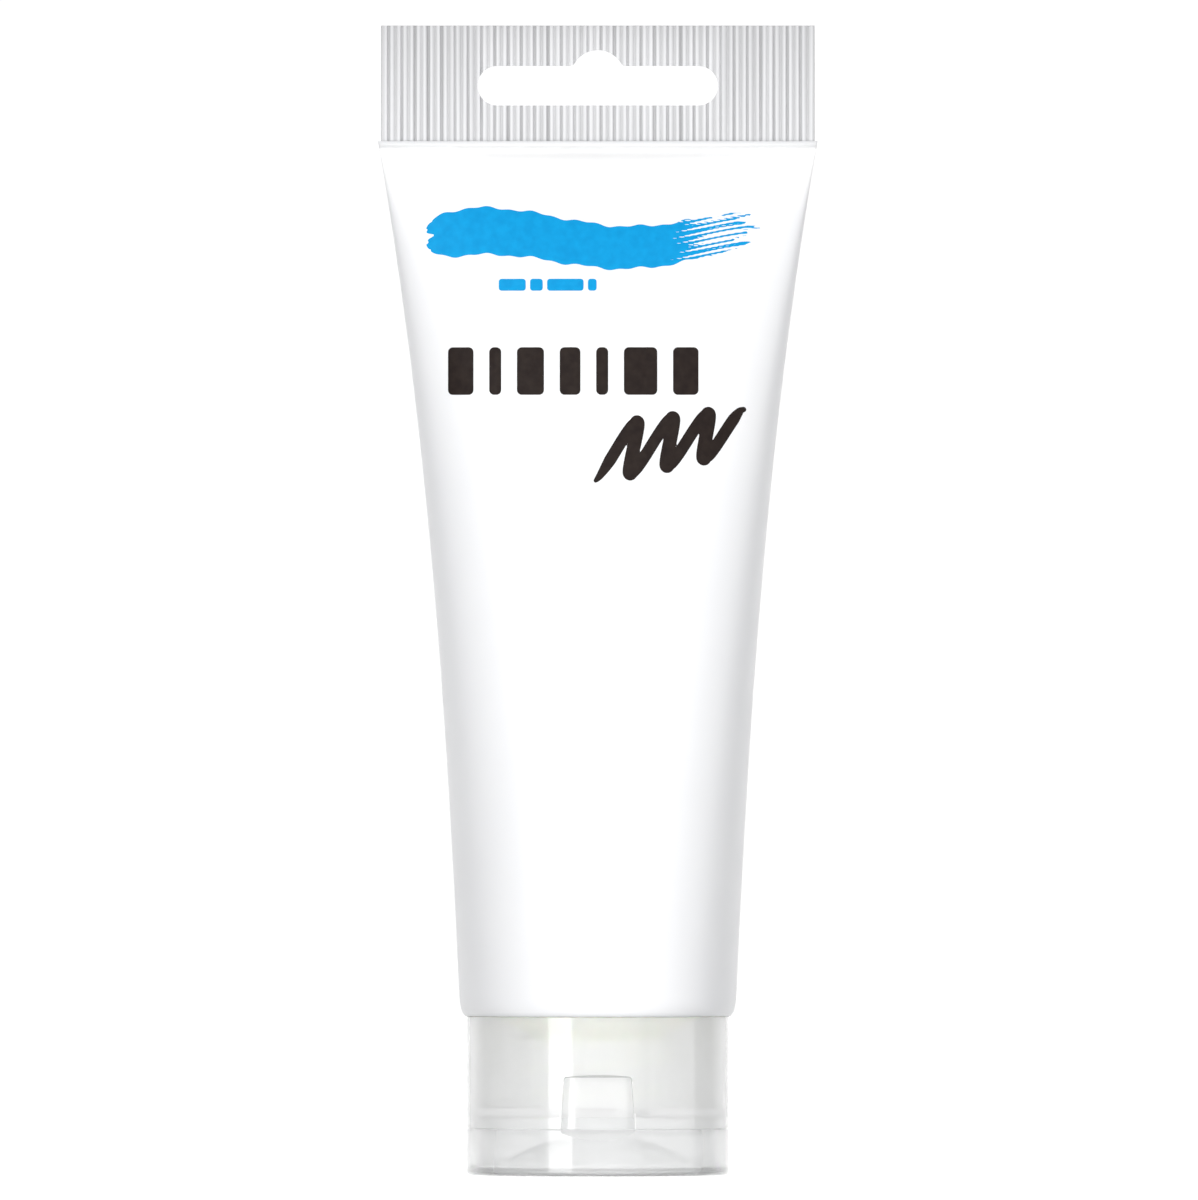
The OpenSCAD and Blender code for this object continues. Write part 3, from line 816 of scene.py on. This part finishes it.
def make_cap():
    """Wall and closed end in one, with the walls of the thumb notch and the hinge pad."""
    edge, top_edge, deck_edge = 0.09 * MM, 0.04 * MM, 0.15 * MM
    shell = revolve("cap_body", rounded([
        (CAP_R, CAP_FOOT, edge), *wall(CAP_R, CAP_FOOT, CAP_TOP),
        (CAP_R, CAP_TOP, top_edge), (CAP_IN_R, CAP_TOP, top_edge),
        (CAP_IN_R, DECK_TOP, deck_edge), (OUTLET_R, DECK_TOP, 0.3 * MM),
        (OUTLET_R, DECK_Z, 0), (CAP_IN_R, DECK_Z, deck_edge),
        (CAP_IN_R, CAP_FOOT, edge),
    ]))
    walls = extrude("pocket_walls", notch_outline(NOTCH_WALL, 0.6 * MM), -CAP_R, -CAP_R / 2, "Y")
    off_catch, in_deck, above_foot = CATCH_OUT_R + 0.05 * MM, DECK_Z + 0.3 * MM, CAP_FOOT + 0.01 * MM
    combine(walls, revolve("pocket_reach", [
        (CATCH_OUT_R - CATCH_WALL, in_deck), (off_catch, in_deck), (off_catch, above_foot),
        (CAP_R - CAP_WALL / 2, above_foot), (CAP_R - CAP_WALL / 2, CAP_TOP - MM),
        (CATCH_OUT_R - CATCH_WALL, CAP_TOP - MM),
    ]), "INTERSECT")
    combine(shell, walls, "UNION")
    combine(shell, hinge_pad("cap_pad", CAP_FOOT, CAP_FOOT + PAD_H), "UNION")
    void = notch_void()
    core = revolve("notch_back", [(0, 0), (CATCH_OUT_R, 0), (CATCH_OUT_R, CAP_TOP), (0, CAP_TOP)])
    combine(void, core, "DIFFERENCE")
    combine(shell, void, "DIFFERENCE")
    tidy(shell, weld=CUT_WELD)
    dress(shell, CLEAR, "cap", "clear_cap", "cap_shell")
    # The notch walls get the frosted material, whose darker base is painted shade in the recess.
    shell.data.materials.append(FROSTED_SHADED)
    for face in shell.data.polygons:
        face.material_index = int(all(in_notch(shell.data.vertices[v].co) for v in face.vertices))
    return shell


def in_notch(spot):
    """True on the walls of the thumb notch."""
    slack, roof = 0.01 * MM, 1.06
    up = (spot.z - CAP_FOOT) / NOTCH_H
    half = NOTCH_FOOT_W / 2 + (NOTCH_TOP_W - NOTCH_FOOT_W) / 2 * up + MOUTH_FLARE + slack
    r = math.hypot(spot.x, spot.y)
    return spot.y < 0 and CATCH_OUT_R - slack < r < CAP_R + slack and abs(spot.x) < half and up < roof


def make_cap_fittings():
    """Collar, spout and catch ring, each turned with small fillets."""
    low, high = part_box("threaded_collar")
    outer, collar_top = high.x, high.z
    inner = outer - 1.2 * MM
    sink = 0.03 * MM
    collar = revolve("threaded_collar_ring", rounded([
        (outer, low.z - sink, 0), (outer, collar_top, 0.25 * MM),
        (inner, collar_top, 0.4 * MM), (inner, low.z - sink, 0),
    ]))
    dress(tidy(collar), CLEAR, "cap", "clear_cap", "threaded_collar")

    low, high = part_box("outlet_spout")
    spout = revolve("outlet_spout_ring", rounded([
        (OUTLET_R, high.z + sink, 0), (OUTLET_R, low.z, 0.35 * MM),
        (high.x, low.z, 0.5 * MM), (high.x, high.z + sink, 0),
    ]))
    dress(tidy(spout), CLEAR, "cap", "clear_cap", "outlet_spout")

    low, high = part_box("catch_ring")
    inside, wall_r, bead_z = CATCH_OUT_R - CATCH_WALL, CATCH_OUT_R, low.z + 0.55 * MM
    catch = revolve("catch_ring_bead", rounded([
        (inside, high.z + sink, 0), (inside, low.z, 0.15 * MM), (wall_r, low.z, 0.15 * MM),
        (wall_r, bead_z - 0.42 * MM, 0.05 * MM), (high.x, bead_z, 0.15 * MM),
        (wall_r, bead_z + 0.42 * MM, 0.1 * MM), (wall_r, high.z + sink, 0),
    ]))
    dress(tidy(catch), CLEAR, "cap", "clear_cap", "catch_ring")


# ---------------------------------------------------------------- lid


def make_lid():
    """Lid with a dished end, a lip under the thumb notch and a hinge pad."""
    ball_r = (DISH_R**2 + DISH_DEPTH**2) / (2 * DISH_DEPTH)
    ball_z = DISH_DEPTH - ball_r
    inner_r = ball_r + DISH_SKIN

    def dome(radius, r):
        return ball_z + math.sqrt(radius**2 - r**2)

    meet = math.sqrt(inner_r**2 - (FLOOR_T - ball_z) ** 2)
    steps = 24
    inside = [(meet * k / steps, dome(inner_r, meet * k / steps), 0) for k in range(steps + 1)]
    below = [(DISH_R * k / steps, dome(ball_r, DISH_R * k / steps), 0) for k in range(steps, -1, -1)]
    below[0] = (DISH_R, 0, 0.25 * MM)
    lid = revolve("lid_body", rounded(
        inside
        + [(CAP_IN_R, FLOOR_T, 0.4 * MM), (CAP_IN_R, LID_TOP, 0.09 * MM), (CAP_R, LID_TOP, 0.09 * MM),
           *wall(CAP_R, LID_TOP, 0), (CAP_R, 0, 0.6 * MM)]
        + below
    ))
    combine(lid, hinge_pad("lid_pad", LID_TOP - PAD_H, LID_TOP), "UNION")
    over = MM
    bevel = [
        (-CAP_R - over, LID_TOP - LIP_DROP - over * LIP_DROP / LIP_IN),
        (-CAP_R + LIP_IN, LID_TOP),
        (-CAP_R + LIP_IN, LID_TOP + over),
        (-CAP_R - over, LID_TOP + over),
    ]
    combine(lid, extrude("lip_cutter", bevel, -NOTCH_FOOT_W / 2, NOTCH_FOOT_W / 2, "X"), "DIFFERENCE")
    tidy(lid, weld=CUT_WELD)
    return dress(lid, CLEAR_LID, "lid", "clear_cap", "flip_lid")


def make_lid_fittings():
    """Pin that closes the outlet and the ring around it."""
    low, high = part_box("orifice_plug")
    r = high.x
    plug = revolve("orifice_plug_pin", rounded([
        (0, low.z, 0), (r, low.z, 0), (r, high.z - 0.5 * MM, 0.2 * MM),
        (r - 0.5 * MM, high.z, 0.3 * MM), (0, high.z, 0),
    ]), 96)
    dress(tidy(plug), CLEAR, "lid", "clear_cap", "orifice_plug")
    low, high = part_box("plug_seal_ring")
    inside = high.x - 0.85 * MM
    ring = revolve("plug_seal_collar", rounded([
        (high.x, low.z, 0), (high.x, high.z, 0.3 * MM), (inside, high.z, 0.3 * MM), (inside, low.z, 0),
    ]), 128)
    dress(tidy(ring), CLEAR, "lid", "clear_cap", "plug_seal_ring")


# ---------------------------------------------------------------- living hinge


def ribbon(name, middle, thickness, low_x, high_x):
    """A strip of even thickness along a line in (y, z), in many short steps."""
    line = np.array(middle)
    heading = np.gradient(line, axis=0)
    heading /= np.linalg.norm(heading, axis=1)[:, None]
    normal = np.stack([heading[:, 1], -heading[:, 0]], -1)
    outline = list(line + normal * thickness / 2) + list((line - normal * thickness / 2)[::-1])
    columns = 7
    verts, n = [], len(outline)
    for x in np.linspace(low_x, high_x, columns):
        verts += [(x, u, v) for u, v in outline]
    half = len(line)
    ends = []
    for k in (0, columns - 1):
        ends += [(k * n + i, k * n + i + 1, k * n + n - 2 - i, k * n + n - 1 - i) for i in range(half - 1)]
    return tidy(piece(name, verts, ends + bands(columns, n)), 60)


def make_hinge():
    """Two film straps with the bowed snap spring between them."""
    for side, node in (("left", "left_hinge_strap"), ("right", "right_hinge_strap")):
        low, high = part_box(node)
        line = [(HINGE_Y, z) for z in np.linspace(high.z, low.z, 41)]
        strap = ribbon(side + "_hinge_film", line, STRAP_T, low.x, high.x)
        finish_hinge(strap, node)
    low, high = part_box("snap_spring")
    reach, out = (high.z - low.z) / 2, high.y - PAD_Y - 0.35 * MM
    s = np.linspace(1, -1, 61)
    bow = PAD_Y + 0.175 * MM + out * smoothstep((1 - np.abs(s)) / 0.55)
    spring = ribbon("snap_spring_leaf", list(zip(bow, SEAM_Z + reach * s)), 0.35 * MM, low.x, high.x)
    finish_hinge(spring, "snap_spring")


def finish_hinge(obj, node):
    """Gives a hinge piece the clear material, hides the CAD node that it stands for and bakes its placement
    into its mesh.
    """
    obj.data.materials.append(CLEAR)
    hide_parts(node)
    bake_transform(obj)


# ---------------------------------------------------------------- CAD nodes that stay


def keep(node, material):
    """A CAD node whose shape is right keeps it and gets its material."""
    obj = frame["nodes"][node]
    obj.data.materials.clear()
    obj.data.materials.append(material)


# ---------------------------------------------------------------- stage


SIDE_LIGHT, FRONT_LIGHT, BACK_LIGHT = 0.215, 2.1, 1.35
ABOVE_LOSS = 0.04


def make_stage():
    """Pale floor that can be looked through from below. It lights and mirrors in nothing."""
    size = 3.0
    corners = [(-size, -size, 0), (size, -size, 0), (size, size, 0), (-size, size, 0)]
    floor = piece("floor", corners, [(0, 1, 2, 3)])
    floor.location.z = -0.02 * MM
    look = Look("pale_floor", Roughness=0.9, Specular_IOR_Level=0.1)
    look.shader.inputs["Base Color"].default_value = (0.5, 0.5, 0.5, 1)
    look.shader.inputs["Emission Color"].default_value = (1, 1, 1, 1)
    look.shader.inputs["Emission Strength"].default_value = 0.78
    from_below = look.node("NewGeometry").outputs["Backfacing"]
    open_below = look.node("BsdfTransparent").outputs[0]
    sides = look.node("MixShader", {0: from_below, 1: look.shader.outputs[0], 2: open_below}).outputs[0]
    look.tree.links.new(sides, look.out.inputs["Surface"])
    floor.data.materials.append(look.material)
    floor.visible_diffuse = False
    floor.visible_glossy = False


def make_world():
    """White to the eye. As a light it is dim at the sides, so that the round of the tube shades off."""
    world = bpy.data.worlds.new("studio")
    bpy.context.scene.world = world
    world.use_nodes = True
    tree = world.node_tree
    tree.nodes.clear()

    def add(kind, **settings):
        made = tree.nodes.new("ShaderNode" + kind)
        for key, value in settings.items():
            setattr(made, key, value)
        return made

    where, parts = add("TexCoord"), add("SeparateXYZ")
    front, behind = (add("MapRange", interpolation_type="SMOOTHSTEP") for _ in range(2))
    both = add("Math", operation="ADD")
    lower = add("Math", operation="MULTIPLY_ADD")
    lower.inputs[1].default_value = ABOVE_LOSS
    light, eye = add("Background"), add("Background")
    mix, ray, out = add("MixShader"), add("LightPath"), add("OutputWorld")
    straight = add("Math", operation="MAXIMUM")
    front_ends = (-0.55, -0.9, SIDE_LIGHT, FRONT_LIGHT)
    behind_ends = (0.35, 0.8, 0.0, BACK_LIGHT - SIDE_LIGHT)
    for ramp, ends in ((front, front_ends), (behind, behind_ends)):
        for key, value in zip(("From Min", "From Max", "To Min", "To Max"), ends):
            ramp.inputs[key].default_value = value
    for background in (light, eye):
        background.inputs["Color"].default_value = (1, 1, 1, 1)
    eye.inputs["Strength"].default_value = 1.05
    link = tree.links.new
    link(where.outputs["Generated"], parts.inputs[0])
    link(parts.outputs["Z"], lower.inputs[0])
    link(parts.outputs["Y"], lower.inputs[2])
    link(lower.outputs[0], front.inputs["Value"])
    link(parts.outputs["Y"], behind.inputs["Value"])
    link(front.outputs["Result"], both.inputs[0])
    link(behind.outputs["Result"], both.inputs[1])
    link(both.outputs[0], light.inputs["Strength"])
    link(ray.outputs["Is Camera Ray"], straight.inputs[0])
    link(ray.outputs["Is Transmission Ray"], straight.inputs[1])
    link(straight.outputs[0], mix.inputs[0])
    link(light.outputs[0], mix.inputs[1])
    link(eye.outputs[0], mix.inputs[2])
    link(mix.outputs[0], out.inputs["Surface"])


def softbox(name, azimuth, elevation, distance, size, power):
    """Area light that faces the middle of the tube. Azimuth 0 is the camera's side and grows to the right."""
    data = bpy.data.lights.new(name, "AREA")
    data.shape = "RECTANGLE"
    data.size, data.size_y = size
    data.energy = power
    lamp = bpy.data.objects.new(name, data)
    bpy.context.scene.collection.objects.link(lamp)
    a, e = math.radians(azimuth), math.radians(elevation)
    away = Vector((math.sin(a) * math.cos(e), -math.cos(a) * math.cos(e), math.sin(e)))
    lamp.location = Vector((0, 0, SEAL_TOP / 2)) + away * distance
    lamp.rotation_euler = (-away).to_track_quat("-Z", "Y").to_euler()
    lamp.visible_camera = False


def make_lights():
    """A strip for the band of light on the cap, and a weak fill on the other side."""
    softbox("front_left_strip", -33, 0, 0.8, (0.3, 0.6), 2.5)
    softbox("right_fill", 70, 0, 0.9, (0.8, 0.6), 1.9)


def make_camera():
    """Level view of the front, through a long lens that shows next to no perspective."""
    data = bpy.data.cameras.new("camera")
    data.lens, data.sensor_width = 1500, 36
    frame_height, look_z = 0.15168, 0.0727
    distance = frame_height * data.lens / data.sensor_width
    camera = bpy.data.objects.new("camera", data)
    bpy.context.scene.collection.objects.link(camera)
    camera.location = (0.00015, -distance, look_z)
    camera.rotation_euler = (math.pi / 2, 0, 0)
    data.clip_start, data.clip_end = 1, 40
    bpy.context.scene.camera = camera


# ---------------------------------------------------------------- build

make_sleeve()
make_crimp()
make_brush_mark()
make_small_dashes()
make_block_row()
make_scribble()
make_threads()
make_cap()
make_cap_fittings()
make_lid()
make_lid_fittings()
make_hinge()
keep("tube_shoulder", NATURAL)
keep("foil_seal", FOIL)
keep("sealing_washer", FOAM)
keep("paint_fill", PAINT)
make_stage()
make_world()
make_lights()
make_camera()
bpy.context.scene.view_settings.view_transform = "Standard"
